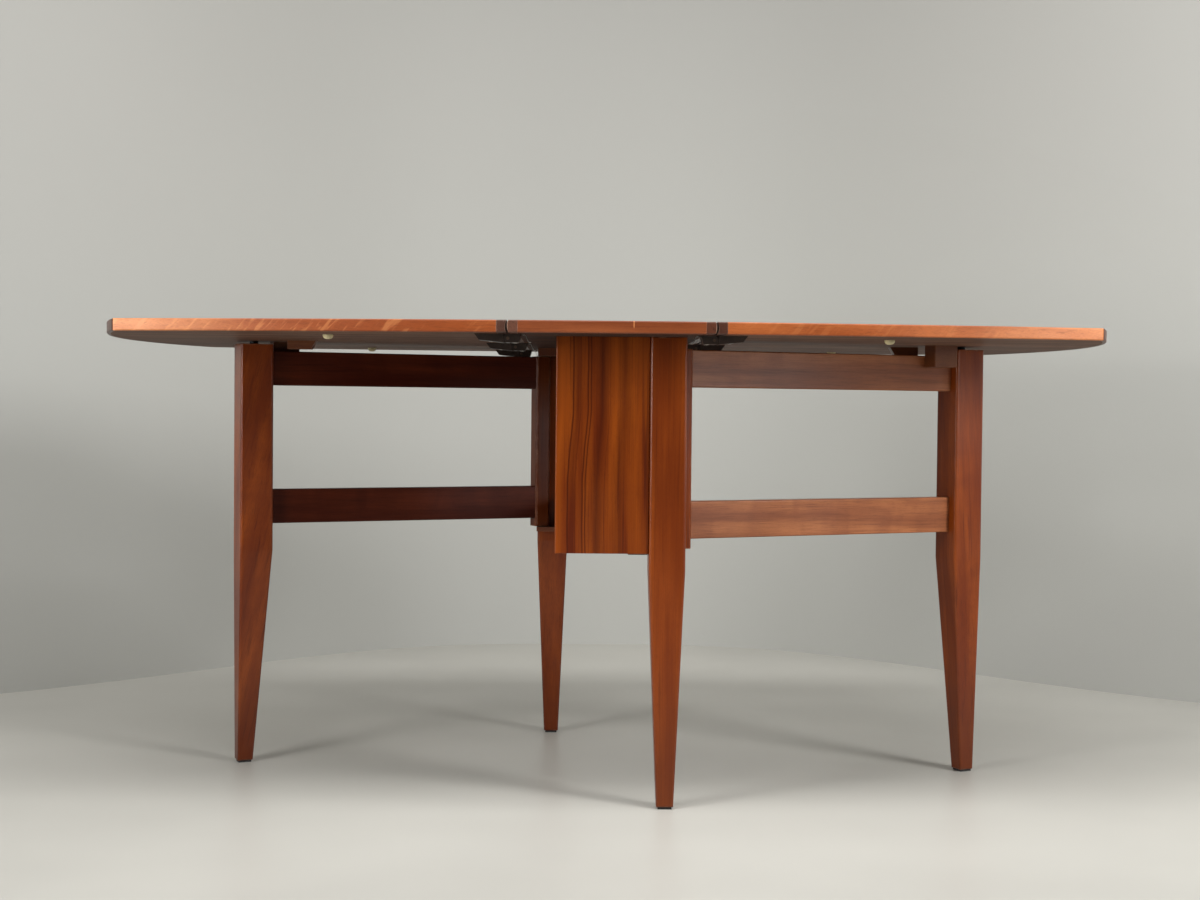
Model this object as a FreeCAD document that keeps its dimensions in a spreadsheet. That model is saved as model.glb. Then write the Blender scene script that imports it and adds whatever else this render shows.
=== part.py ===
import FreeCAD, Part
import math
import os
import re
import Sketcher

# Drop-leaf dining table with two gate legs, built in millimetres.
# The floor is at height zero, the origin is at the middle of the table,
# X runs along the open length and the front of the table faces minus Y.
# The table looks the same after half a turn about the upright axis, so most
# pieces are made twice: once for the right side and once turned by half a turn.

SIZES = {
    # The whole table
    "table_height": 730.0,
    "top_length": 1603.0,
    "top_depth": 868.0,
    "top_thickness": 18.0,
    "side_bow": 93.0,
    "end_bow": 105.0,
    "top_corner_radius": 9.0,
    "top_arris": 1.4,
    # The joints between the centre and the leaves
    "joint_spacing": 302.0,
    "joint_gap": 3.0,
    "joint_bulge": 2.0,
    "centre_lipping_width": 13.0,
    "leaf_lipping_width": 14.5,
    "edging_width": 6.0,
    # Legs
    "leg_size": 55.0,
    "foot_size": 26.0,
    "leg_corner_radius": 4.0,
    "foot_corner_radius": 3.0,
    "taper_height": 360.0,
    "fixed_leg_offset": 89.0,
    "leg_inset": 144.0,
    "glide_height": 4.0,
    "glide_rim": 2.5,
    # The frame between the fixed legs
    "panel_thickness": 18.0,
    "panel_bottom": 386.0,
    "panel_inset": 5.0,
    "panel_leg_gap": 4.0,
    "frame_rail_thickness": 18.0,
    "frame_rail_depth": 57.0,
    "wood_arris": 1.5,
    # Gates
    "gate_angle": 23.8,
    "pivot_offset": 112.0,
    "pivot_inset": 51.0,
    "gate_length": 527.0,
    "post_size": 28.0,
    "post_arris": 3.0,
    "post_bottom": 389.0,
    "post_drop": 15.0,
    "rail_thickness": 22.0,
    "rail_depth": 58.0,
    "upper_rail_drop": 16.0,
    "lower_rail_bottom": 404.0,
    "gate_leg_drop": 5.0,
    "peg_radius": 7.2,
    # Gate pivots
    "pivot_radius": 4.0,
    "pivot_clearance": 0.05,
    "pivot_bore_depth": 24.0,
    "bearer_gap": 1.0,
    "lower_bearer_thickness": 8.0,
    "bearer_width": 40.0,
    "bearer_overhang": 5.5,
    "bearer_root": 32.0,
    # Leaf hinges
    "hinge_inset": 69.0,
    "hinge_length": 36.0,
    "hinge_thickness": 12.0,
    "hinge_leaf_width": 49.0,
    "hinge_centre_width": 20.0,
    "hinge_slant": 7.0,
    "hinge_centre_slant": 4.0,
    "hinge_rise": 3.5,
    "hinge_axis_drop": 6.5,
    "knuckle_length": 14.0,
    "knuckle_corner_angle": 22.5,
    "knuckle_gap": 0.4,
    "hinge_pin_radius": 2.5,
    "hinge_clearance": 0.05,
    # Stops and buffers under the leaves
    "stop_length": 45.0,
    "stop_depth": 35.0,
    "stop_thickness": 30.0,
    "stop_clearance": 0.5,
    "stop_leg_gap": 9.5,
    "batten_leg_gap": 24.0,
    "batten_length": 47.0,
    "batten_depth": 14.0,
    "batten_thickness": 22.0,
    "batten_slant": 8.0,
    "batten_shift": 18.0,
    "buffer_end_inset": 376.5,
    "buffer_side_inset": 144.0,
    "buffer_radius": 8.0,
    "buffer_depth": 7.0,
}

# Values that follow from the sizes above
DERIVED = {
    "underside": "table_height - top_thickness",
    "side_radius": "top_length ^ 2 / (8 * side_bow) + side_bow / 2",
    "end_radius": "top_depth ^ 2 / (8 * end_bow) + end_bow / 2",
    "bulge_radius": "top_thickness ^ 2 / (8 * joint_bulge) + joint_bulge / 2",
    "centre_edge": "(joint_spacing - joint_gap - joint_bulge) / 2",
    "leaf_edge": "centre_edge + joint_gap",
    "centre_board_edge": "centre_edge - centre_lipping_width",
    "leaf_board_edge": "leaf_edge + leaf_lipping_width",
    "leg_half": "leg_size / 2",
    "leg_reach": "top_depth / 2 - leg_inset",
    "pivot_reach": "leg_reach - pivot_inset",
    "hinge_reach": "top_depth / 2 - hinge_inset",
    "gate_inner_end": "gate_length - leg_half",
    "gate_leg_x": "pivot_offset + gate_length * cos(gate_angle)",
    "gate_leg_y": "gate_length * sin(gate_angle) - pivot_reach",
    "gate_leg_top": "underside - gate_leg_drop",
    "panel_free_edge": "pivot_offset - leg_half - panel_leg_gap",
    "panel_leg_edge": "fixed_leg_offset - leg_half",
    "panel_front": "leg_reach + leg_half - panel_inset",
    "panel_back": "panel_front - panel_thickness",
    "post_top": "underside - post_drop",
    "upper_rail_top": "underside - upper_rail_drop",
    "lower_bearer_top": "post_bottom - bearer_gap",
    "upper_bearer_bottom": "post_top + bearer_gap",
    "bearer_end": "pivot_offset + bearer_overhang",
    "joint_line": "joint_spacing / 2",
    "hinge_axis": "underside - hinge_axis_drop",
    "knuckle_half": "knuckle_length / 2",
    "knuckle_radius": "hinge_thickness / 2",
    "knuckle_side": "knuckle_radius * tan(knuckle_corner_angle)",
    "hinge_bottom": "hinge_axis - knuckle_radius",
    "stop_face": "rail_thickness / 2 + stop_clearance",
    "stop_outer_end": "gate_inner_end - stop_leg_gap",
    "batten_outer_end": "gate_leg_x - leg_half / 2 - leg_half - batten_leg_gap",
    "buffer_x": "top_length / 2 - buffer_end_inset",
    "buffer_y": "top_depth / 2 - buffer_side_inset",
}

doc = FreeCAD.newDocument("drop_leaf_table")
sheet = doc.addObject("Spreadsheet::Sheet", "sizes")
SAME = 1e-6
NAMES = re.compile(r"\b(" + "|".join(list(SIZES) + list(DERIVED)) + r")\b")
nodes = []


def fill_sheet():
    """Write every driving size as a number and every derived value as a formula."""
    sheet.set("A1", "size")
    sheet.set("B1", "value")
    for row, (name, number) in enumerate(list(SIZES.items()) + list(DERIVED.items()), start=2):
        sheet.set(f"A{row}", name)
        sheet.setAlias(f"B{row}", name)
        sheet.set(f"B{row}", str(number) if name in SIZES else "=" + number)
    doc.recompute()


def bound(expression):
    """The same expression with every size name pointing at the sheet."""
    return NAMES.sub(r"sizes.\1", str(expression))


def value(expression):
    """The number an expression of size names has at this moment."""
    result = sheet.evalExpression(bound(expression))
    return float(getattr(result, "Value", result))


def origin_plane(body, role):
    """The named origin plane of a body."""
    return next(item for item in body.Origin.OriginFeatures if item.Role == role)


def new_body(name, node=True):
    """A body with its own label; a node is also written as its own file."""
    body = doc.addObject("PartDesign::Body", name)
    body.Label = name
    if node:
        nodes.append(body)
    return body


def new_sketch(body, role, name, offset="0"):
    """A sketch on an origin plane of its own body, moved along the plane's normal."""
    sketch = body.newObject("Sketcher::SketchObject", name)
    sketch.AttachmentSupport = (origin_plane(body, role), [""])
    sketch.MapMode = "FlatFace"
    sketch.setExpression("AttachmentOffset.Base.z", bound(offset))
    doc.recompute()
    return sketch


def pin_point(sketch, geometry, position, x, y):
    """Hold one point of a sketch at the expressions x and y from the sketch's origin."""
    for kind, expression in (("DistanceX", x), ("DistanceY", y)):
        index = sketch.addConstraint(
            Sketcher.Constraint(kind, -1, 1, geometry, position, value(expression)))
        sketch.renameConstraint(index, f"{kind}_{index}")
        sketch.setExpression(f"Constraints.{kind}_{index}", bound(expression))


def set_radius(sketch, geometry, expression):
    """Hold the radius of a circle or arc at an expression."""
    index = sketch.addConstraint(Sketcher.Constraint("Radius", geometry, value(expression)))
    sketch.renameConstraint(index, f"radius_{index}")
    sketch.setExpression(f"Constraints.radius_{index}", bound(expression))


def draw_polygon(sketch, corners):
    """A closed outline of straight lines through corners given as pairs of expressions."""
    points = [FreeCAD.Vector(value(x), value(y), 0) for x, y in corners]
    first = sketch.GeometryCount
    count = len(points)
    for index in range(count):
        sketch.addGeometry(Part.LineSegment(points[index], points[(index + 1) % count]), False)
    for index in range(count):
        following = first + (index + 1) % count
        sketch.addConstraint(Sketcher.Constraint("Coincident", first + index, 2, following, 1))
    for index, (x, y) in enumerate(corners):
        pin_point(sketch, first + index, 1, x, y)


def draw_rectangle(sketch, left, right, low, high):
    """A rectangle between four expressions."""
    draw_polygon(sketch, [(left, low), (right, low), (right, high), (left, high)])


def draw_circle(sketch, x, y, radius):
    """A circle about the expressions x and y."""
    centre = FreeCAD.Vector(value(x), value(y), 0)
    circle = sketch.addGeometry(Part.Circle(centre, FreeCAD.Vector(0, 0, 1), value(radius)), False)
    pin_point(sketch, circle, 3, x, y)
    set_radius(sketch, circle, radius)


def draw_ring(sketch, arcs):
    """A closed ring of arcs that run into each other smoothly.

    Each arc is (centre, radius, start, end): expressions for the centre or None where the
    neighbours place it, an expression for the radius, and first guesses of the two angles.
    """
    first = sketch.GeometryCount
    for centre, guess, radius, start, end in arcs:
        circle = Part.Circle(FreeCAD.Vector(guess[0], guess[1], 0), FreeCAD.Vector(0, 0, 1), value(radius))
        sketch.addGeometry(Part.ArcOfCircle(circle, start, end), False)
    count = len(arcs)
    for index in range(count):
        following = first + (index + 1) % count
        sketch.addConstraint(Sketcher.Constraint("Tangent", first + index, 2, following, 1))
    for index, (centre, guess, radius, start, end) in enumerate(arcs):
        set_radius(sketch, first + index, radius)
        if centre is not None:
            pin_point(sketch, first + index, 3, centre[0], centre[1])


def draw_rounded_square(sketch, left, right, low, high, radius):
    """A rectangle between four expressions with its corners rounded."""
    x0, x1, y0, y1, r = (value(item) for item in (left, right, low, high, radius))
    quarter = math.pi / 2
    corners = [(x1 - r, y1 - r), (x0 + r, y1 - r), (x0 + r, y0 + r), (x1 - r, y0 + r)]
    for index, (x, y) in enumerate(corners):
        circle = Part.Circle(FreeCAD.Vector(x, y, 0), FreeCAD.Vector(0, 0, 1), r)
        sketch.addGeometry(Part.ArcOfCircle(circle, index * quarter, (index + 1) * quarter), False)
    ends = [((x1 - r, y1), (x0 + r, y1)), ((x0, y1 - r), (x0, y0 + r)),
            ((x0 + r, y0), (x1 - r, y0)), ((x1, y0 + r), (x1, y1 - r))]
    for start, end in ends:
        line = Part.LineSegment(FreeCAD.Vector(*start, 0), FreeCAD.Vector(*end, 0))
        sketch.addGeometry(line, False)
    for index in range(4):
        sketch.addConstraint(Sketcher.Constraint("Tangent", index, 2, 4 + index, 1))
        sketch.addConstraint(Sketcher.Constraint("Tangent", 4 + index, 2, (index + 1) % 4, 1))
    centres = [(f"{right} - {radius}", f"{high} - {radius}"), (f"{left} + {radius}", f"{high} - {radius}"),
               (f"{left} + {radius}", f"{low} + {radius}"), (f"{right} - {radius}", f"{low} + {radius}")]
    for index, (x, y) in enumerate(centres):
        pin_point(sketch, index, 3, x, y)
    set_radius(sketch, 0, radius)


def pad(body, sketch, length, both_ways=False):
    """Raise a sketch along its normal, or to both sides by half the length."""
    feature = body.newObject("PartDesign::Pad", body.Name + "_pad")
    feature.Profile = sketch
    if both_ways:
        feature.SideType = "Symmetric"
    feature.setExpression("Length", bound(length))
    body.Tip = feature
    doc.recompute()
    return feature


def cut(body, sketch, length=None, reverse=False):
    """Cut a sketch out of a body, through everything or to a length."""
    feature = body.newObject("PartDesign::Pocket", body.Name + "_cut")
    feature.Profile = sketch
    before = body.Shape.Volume
    if length is None:
        feature.Type = "ThroughAll"
        feature.Midplane = True
    else:
        feature.setExpression("Length", bound(length))
        feature.Reversed = reverse
    body.Tip = feature
    doc.recompute()
    if not body.Shape.Volume < before:
        raise RuntimeError(f"{body.Label}: the cut takes nothing away")
    return feature


def ease_edges(body, width, wanted):
    """Take the sharpness off the edges of a body that a test picks out."""
    base = body.Tip
    names = [f"Edge{number}" for number, edge in enumerate(base.Shape.Edges, start=1) if wanted(edge)]
    feature = body.newObject("PartDesign::Chamfer", body.Name + "_easing")
    feature.Base = (base, names)
    feature.setExpression("Size", bound(width))
    body.Tip = feature
    doc.recompute()
    return feature


def level(edge):
    """Whether an edge stays at one height."""
    return edge.BoundBox.ZLength < SAME


def along(axis):
    """A test for straight edges that run along one axis."""
    def check(edge):
        box = edge.BoundBox
        lengths = {"x": box.XLength, "y": box.YLength, "z": box.ZLength}
        own = lengths.pop(axis)
        return own > SAME and max(lengths.values()) < SAME
    return check


def place(item, x="0", y="0", z="0", angle="0"):
    """Turn a piece about the upright axis and move it, all by expressions."""
    item.Placement = FreeCAD.Placement(
        FreeCAD.Vector(value(x), value(y), value(z)),
        FreeCAD.Rotation(FreeCAD.Vector(0, 0, 1), value(angle)))
    for name, expression in (("x", x), ("y", y), ("z", z)):
        item.setExpression(f"Placement.Base.{name}", bound(expression))
    item.setExpression("Placement.Rotation.Angle", bound(f"({angle}) * 1 deg"))


def half_turn(side):
    """The turn of a piece on the right or on the left side of the table."""
    return "0" if side == "right" else "180"


def rod(name, low, length, radius, x="0", y="0"):
    """An upright round bar as its own body."""
    body = new_body(name)
    sketch = new_sketch(body, "XY_Plane", name + "_circle", low)
    draw_circle(sketch, x, y, radius)
    pad(body, sketch, length)
    return body


def board(name, left, right, low, high, bottom, height, edges):
    """A plain board as its own body, with eased edges along one axis."""
    body = new_body(name)
    sketch = new_sketch(body, "XY_Plane", name + "_outline", bottom)
    draw_rectangle(sketch, left, right, low, high)
    pad(body, sketch, height)
    ease_edges(body, "wood_arris", along(edges))
    return body


def outline_arcs(inset):
    """The bowed outline of the top, moved inwards by an expression."""
    inset_now = value(inset)
    side, end = value("side_radius"), value("end_radius")
    corner = value("top_corner_radius") - inset_now
    side_centre = side - value("top_depth") / 2
    end_centre = end - value("top_length") / 2
    # The corner circle lies inside both bows: its middle is found from the two distances.
    side_reach = side - value("top_corner_radius")
    end_reach = end - value("top_corner_radius")
    span = math.hypot(side_centre, end_centre)
    foot = (side_reach ** 2 - end_reach ** 2 + span ** 2) / (2 * span)
    offset = math.sqrt(side_reach ** 2 - foot ** 2)
    toward_x, toward_y = -end_centre / span, side_centre / span
    x = foot * toward_x + offset * toward_y
    y = -side_centre + foot * toward_y - offset * toward_x
    lean = math.atan2(y + side_centre, x)
    swing = math.atan2(y, x + end_centre)
    half = math.pi
    corner_radius = f"top_corner_radius - ({inset})"
    side_radius = f"side_radius - ({inset})"
    end_radius = f"end_radius - ({inset})"
    back = ("0", "-(side_radius - top_depth / 2)")
    front = ("0", "side_radius - top_depth / 2")
    right = ("-(end_radius - top_length / 2)", "0")
    left = ("end_radius - top_length / 2", "0")
    return [
        (right, (-end_centre, 0), end_radius, -swing, swing),
        (None, (x, y), corner_radius, swing, lean),
        (back, (0, -side_centre), side_radius, lean, half - lean),
        (None, (-x, y), corner_radius, half - lean, half - swing),
        (left, (end_centre, 0), end_radius, half - swing, half + swing),
        (None, (-x, -y), corner_radius, half + swing, half + lean),
        (front, (0, side_centre), side_radius, half + lean, 2 * half - lean),
        (None, (x, -y), corner_radius, 2 * half - lean, 2 * half - swing),
    ]


def make_blank(name, inset, arris=None):
    """The whole top as one slab, from which its pieces are taken."""
    body = new_body(name, node=False)
    sketch = new_sketch(body, "XY_Plane", name + "_outline", "underside")
    draw_ring(sketch, outline_arcs(inset))
    pad(body, sketch, "top_thickness")
    if arris:
        ease_edges(body, arris, level)
    return body


def joint_zone(name, side, curved, straight):
    """A long bar with one edge bulging away from the middle of the table, cut to the outline later."""
    sign = "" if side == "right" else "-"
    turn = 1 if side == "right" else -1
    body = new_body(name, node=False)
    sketch = new_sketch(body, "XZ_Plane", name + "_profile")
    x_curved, x_straight = value(curved) * turn, value(straight) * turn
    low, high, radius = value("underside"), value("table_height"), value("bulge_radius")
    reach = radius - value("joint_bulge")
    centre = FreeCAD.Vector(x_curved - turn * reach, (low + high) / 2, 0)
    half = math.asin((high - low) / 2 / radius)
    start, end = (-half, half) if turn > 0 else (math.pi - half, math.pi + half)
    arc = Part.ArcOfCircle(Part.Circle(centre, FreeCAD.Vector(0, 0, 1), radius), start, end)
    sketch.addGeometry(arc, False)
    first_z, last_z = (low, high) if turn > 0 else (high, low)
    corners = [(x_curved, last_z), (x_straight, last_z), (x_straight, first_z), (x_curved, first_z)]
    for index in range(3):
        start_point = FreeCAD.Vector(*corners[index], 0)
        end_point = FreeCAD.Vector(*corners[index + 1], 0)
        sketch.addGeometry(Part.LineSegment(start_point, end_point), False)
    for index in range(4):
        sketch.addConstraint(Sketcher.Constraint("Coincident", index, 2, (index + 1) % 4, 1))
    heights = ("underside", "table_height") if turn > 0 else ("table_height", "underside")
    pin_point(sketch, 0, 1, f"{sign}({curved})", heights[0])
    pin_point(sketch, 0, 2, f"{sign}({curved})", heights[1])
    pin_point(sketch, 2, 1, f"{sign}({straight})", heights[1])
    pin_point(sketch, 2, 2, f"{sign}({straight})", heights[0])
    set_radius(sketch, 0, "bulge_radius")
    pad(body, sketch, "top_depth", both_ways=True)
    return body


def box_zone(name, left, right, front, back):
    """A box through the whole thickness of the top."""
    body = new_body(name, node=False)
    sketch = new_sketch(body, "XY_Plane", name + "_outline", "underside")
    draw_rectangle(sketch, left, right, front, back)
    pad(body, sketch, "top_thickness")
    return body


def shared_piece(name, first, second):
    """The piece that two shapes have in common."""
    piece = doc.addObject("Part::Common", name)
    piece.Base = first
    piece.Tool = second
    piece.Label = name
    nodes.append(piece)
    return piece


def make_top():
    """The centre board, the two leaves, and the lippings and edgings round them."""
    slab = make_blank("top_slab", "0", "top_arris")
    core = make_blank("top_core", "edging_width")
    rim = doc.addObject("Part::Cut", "top_rim")
    rim.Base = slab
    rim.Tool = core
    half_depth, half_length = "top_depth / 2", "top_length / 2"
    middle = box_zone("centre_zone", "-centre_board_edge", "centre_board_edge",
                      f"-{half_depth}", half_depth)
    shared_piece("centre_board", core, middle)
    front = box_zone("front_zone", "-centre_board_edge", "centre_board_edge", f"-{half_depth}", "0")
    back = box_zone("back_zone", "-centre_board_edge", "centre_board_edge", "0", half_depth)
    shared_piece("centre_front_edging", rim, front)
    shared_piece("centre_back_edging", rim, back)
    for side in ("right", "left"):
        zone = joint_zone(f"{side}_centre_lipping_zone", side, "centre_edge", "centre_board_edge")
        shared_piece(f"{side}_centre_lipping", slab, zone)
        zone = joint_zone(f"{side}_leaf_lipping_zone", side, "leaf_edge", "leaf_board_edge")
        shared_piece(f"{side}_leaf_lipping", slab, zone)
        ends = ("leaf_board_edge", half_length)
        if side == "left":
            ends = (f"-{half_length}", "-leaf_board_edge")
        zone = box_zone(f"{side}_leaf_zone", *ends, f"-{half_depth}", half_depth)
        shared_piece(f"{side}_leaf_board", core, zone)
        shared_piece(f"{side}_leaf_edging", rim, zone)


def make_leg(name, top):
    """A square leg: straight above, tapered below on three sides, with its outer side upright.

    The leg stands about its own origin with its outer side towards plus X.
    """
    body = new_body(name)
    shank = new_sketch(body, "XY_Plane", name + "_shank", "taper_height")
    draw_rounded_square(shank, "-leg_half", "leg_half", "-leg_half", "leg_half", "leg_corner_radius")
    pad(body, shank, f"{top} - taper_height")
    start = new_sketch(body, "XY_Plane", name + "_taper_start", "taper_height")
    draw_rounded_square(start, "-leg_half", "leg_half", "-leg_half", "leg_half", "leg_corner_radius")
    foot = new_sketch(body, "XY_Plane", name + "_foot", "glide_height")
    draw_rounded_square(foot, "leg_half - foot_size", "leg_half", "-foot_size / 2", "foot_size / 2",
                        "foot_corner_radius")
    taper = body.newObject("PartDesign::AdditiveLoft", name + "_taper")
    taper.Profile = start
    taper.Sections = [foot]
    taper.Ruled = True
    body.Tip = taper
    doc.recompute()
    return body


def make_glide(name):
    """The low dark glide under a foot, set in from the foot's edges."""
    body = new_body(name)
    sketch = new_sketch(body, "XY_Plane", name + "_outline")
    draw_rectangle(sketch, "leg_half - foot_size + glide_rim", "leg_half - glide_rim",
                   "-foot_size / 2 + glide_rim", "foot_size / 2 - glide_rim")
    pad(body, sketch, "glide_height")
    return body


def make_frame():
    """The two panels, the fixed legs and the rails that hold them together."""
    for name, side in (("front", "right"), ("back", "left")):
        turn = half_turn(side)
        panel = board(f"{name}_panel", "-panel_free_edge", "panel_leg_edge",
                      "-panel_front", "-panel_back", "panel_bottom", "underside - panel_bottom", "z")
        place(panel, angle=turn)
        sign = "" if side == "right" else "-"
        other = "-" if side == "right" else ""
        leg_turn = "-90" if side == "right" else "90"
        leg = make_leg(f"{name}_fixed_leg", "underside")
        glide = make_glide(f"{name}_fixed_leg_glide")
        for piece in (leg, glide):
            place(piece, f"{sign}fixed_leg_offset", f"{other}leg_reach", angle=leg_turn)
    inner = "panel_leg_edge - frame_rail_thickness"
    for side in ("right", "left"):
        upper = board(f"{side}_upper_frame_rail", inner, "panel_leg_edge", "-panel_back", "panel_back",
                      "underside - frame_rail_depth", "frame_rail_depth", "y")
        place(upper, angle=half_turn(side))
        lower = board(f"{side}_lower_frame_rail", inner, "panel_leg_edge", "-panel_back", "panel_back",
                      "lower_bearer_top", "frame_rail_depth", "y")
        place(lower, angle=half_turn(side))


def make_bearer(name, side, left, bottom, thickness):
    """A flat bearer that reaches out from the frame and holds a gate's pivot pin."""
    body = new_body(name)
    sketch = new_sketch(body, "XY_Plane", name + "_outline", bottom)
    draw_rectangle(sketch, left, "bearer_end", "-pivot_reach - bearer_width / 2",
                   "-pivot_reach + bearer_width / 2")
    pad(body, sketch, thickness)
    bore = new_sketch(body, "XY_Plane", name + "_bore")
    draw_circle(bore, "pivot_offset", "-pivot_reach", "pivot_radius + pivot_clearance")
    cut(body, bore)
    place(body, angle=half_turn(side))
    return body


def make_bearers(side):
    """The lower bearer under the frame rail and the upper bearer beside it."""
    make_bearer(f"{side}_lower_pivot_bearer", side, "bearer_root",
                "lower_bearer_top - lower_bearer_thickness", "lower_bearer_thickness")
    make_bearer(f"{side}_upper_pivot_bearer", side, "panel_leg_edge",
                "upper_bearer_bottom", "underside - upper_bearer_bottom")


def make_gate(side):
    """A gate that turns on its post: post, two rails, leg, peg, glide and pivot pins."""
    turn = "gate_angle" if side == "right" else "gate_angle + 180"
    sign, other = ("", "-") if side == "right" else ("-", "")
    post = new_body(f"{side}_gate_post")
    outline = new_sketch(post, "XY_Plane", post.Name + "_outline", "post_bottom")
    draw_rectangle(outline, "-post_size / 2", "post_size / 2", "-post_size / 2", "post_size / 2")
    pad(post, outline, "post_top - post_bottom")
    ease_edges(post, "post_arris", along("z"))
    for tag, offset in (("lower", "post_bottom"), ("upper", "post_top")):
        bore = new_sketch(post, "XY_Plane", f"{post.Name}_{tag}_bore", offset)
        draw_circle(bore, "0", "0", "pivot_radius")
        cut(post, bore, "pivot_bore_depth", reverse=tag == "lower")
    pieces = [post]
    heights = {"upper": "upper_rail_top - rail_depth", "lower": "lower_rail_bottom"}
    for tag, bottom in heights.items():
        rail = board(f"{side}_gate_{tag}_rail", "post_size / 2", "gate_inner_end",
                     "-rail_thickness / 2", "rail_thickness / 2", bottom, "rail_depth", "x")
        pieces.append(rail)
    lower_pin = rod(f"{side}_gate_lower_pivot", "lower_bearer_top - lower_bearer_thickness",
                    "bearer_gap + lower_bearer_thickness + pivot_bore_depth", "pivot_radius")
    upper_pin = rod(f"{side}_gate_upper_pivot", "post_top - pivot_bore_depth",
                    "pivot_bore_depth + post_drop", "pivot_radius")
    pieces += [lower_pin, upper_pin]
    for piece in pieces:
        place(piece, f"{sign}pivot_offset", f"{other}pivot_reach", angle=turn)
    leg = make_leg(f"{side}_gate_leg", "gate_leg_top")
    glide = make_glide(f"{side}_gate_leg_glide")
    peg = rod(f"{side}_gate_leg_peg", "gate_leg_top", "gate_leg_drop", "peg_radius")
    for piece in (leg, glide, peg):
        place(piece, f"{sign}gate_leg_x", f"{sign}(gate_leg_y)", angle=turn)


def make_leaf_fittings(side):
    """The stop, the batten and the buffers under a leaf."""
    turn = "gate_angle" if side == "right" else "gate_angle + 180"
    sign, other = ("", "-") if side == "right" else ("-", "")
    stop = board(f"{side}_gate_stop", "stop_outer_end - stop_length", "stop_outer_end",
                 "-stop_face - stop_thickness", "-stop_face", "underside - stop_depth", "stop_depth", "z")
    place(stop, f"{sign}pivot_offset", f"{other}pivot_reach", angle=turn)
    batten = new_body(f"{side}_gate_stop_batten")
    profile = new_sketch(batten, "XZ_Plane", batten.Name + "_profile")
    draw_polygon(profile, [
        ("batten_outer_end - batten_length", "underside"),
        ("batten_outer_end", "underside"),
        ("batten_outer_end", "underside - batten_depth"),
        ("batten_outer_end - batten_length + batten_slant", "underside - batten_depth")])
    pad(batten, profile, "batten_thickness", both_ways=True)
    place(batten, "0", f"{sign}batten_shift", angle=half_turn(side))
    for name, reach in (("front", "-buffer_y"), ("back", "buffer_y")):
        buffer = rod(f"{side}_leaf_{name}_buffer", "underside - buffer_depth", "buffer_depth",
                     "buffer_radius", "buffer_x", reach)
        place(buffer, angle=half_turn(side))


def make_hinge(side, name, reach):
    """One leaf hinge: the plate under the centre, the arm under the leaf and the pin between them."""
    turn = half_turn(side)
    plate = new_body(f"{side}_{name}_hinge_plate", node=False)
    foot = new_sketch(plate, "XZ_Plane", plate.Name + "_profile")
    draw_polygon(foot, [
        ("joint_line - hinge_centre_width", "underside"),
        ("joint_line - hinge_centre_width + hinge_centre_slant", "hinge_bottom"),
        ("joint_line + knuckle_side", "hinge_bottom"),
        ("joint_line + knuckle_radius", "hinge_axis - knuckle_side"),
        ("joint_line + knuckle_radius", "hinge_axis + knuckle_side"),
        ("joint_line + knuckle_side", "hinge_axis + knuckle_radius"),
        ("joint_line", "hinge_axis + knuckle_radius"),
        ("joint_line", "underside")])
    pad(plate, foot, "hinge_length", both_ways=True)
    window = new_sketch(plate, "XY_Plane", plate.Name + "_window", "underside")
    draw_rectangle(window, "joint_line - knuckle_radius - knuckle_gap", "joint_line + 2 * knuckle_radius",
                   "-knuckle_half - knuckle_gap", "knuckle_half + knuckle_gap")
    cut(plate, window)
    bore = new_sketch(plate, "XZ_Plane", plate.Name + "_bore")
    draw_circle(bore, "joint_line", "hinge_axis", "hinge_pin_radius")
    cut(plate, bore)
    arm = new_body(f"{side}_{name}_hinge_arm", node=False)
    start = "joint_line + knuckle_radius + knuckle_gap"
    block = new_sketch(arm, "XZ_Plane", arm.Name + "_block")
    draw_polygon(block, [
        (start, "hinge_bottom"),
        ("joint_line + hinge_leaf_width - hinge_slant", "hinge_bottom + hinge_rise"),
        ("joint_line + hinge_leaf_width", "underside"),
        (start, "underside")])
    pad(arm, block, "hinge_length", both_ways=True)
    neck = new_sketch(arm, "XZ_Plane", arm.Name + "_neck")
    draw_polygon(neck, [
        (start, "hinge_bottom"),
        (start, "hinge_axis + knuckle_radius"),
        ("joint_line - knuckle_side", "hinge_axis + knuckle_radius"),
        ("joint_line - knuckle_radius", "hinge_axis + knuckle_side"),
        ("joint_line - knuckle_radius", "hinge_axis - knuckle_side"),
        ("joint_line - knuckle_side", "hinge_bottom")])
    pad(arm, neck, "knuckle_length", both_ways=True)
    hole = new_sketch(arm, "XZ_Plane", arm.Name + "_hole")
    draw_circle(hole, "joint_line", "hinge_axis", "hinge_pin_radius + hinge_clearance")
    cut(arm, hole)
    pin = new_body(f"{side}_{name}_hinge_pin", node=False)
    circle = new_sketch(pin, "XZ_Plane", pin.Name + "_circle")
    draw_circle(circle, "joint_line", "hinge_axis", "hinge_pin_radius")
    pad(pin, circle, "hinge_length", both_ways=True)
    for piece in (plate, arm, pin):
        place(piece, "0", reach, angle=turn)
    return plate, arm, pin


def make_hinges(side):
    """The three hinges of one leaf; like pieces of them share one node."""
    places = {"front": "-hinge_reach", "middle": "0", "back": "hinge_reach"}
    hinges = [make_hinge(side, name, reach) for name, reach in places.items()]
    for name, pieces in zip(("hinge_plates", "hinge_arms", "hinge_pins"), zip(*hinges)):
        group = doc.addObject("Part::Compound", f"{side}_{name}")
        group.Links = list(pieces)
        group.Label = group.Name
        nodes.append(group)


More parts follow.
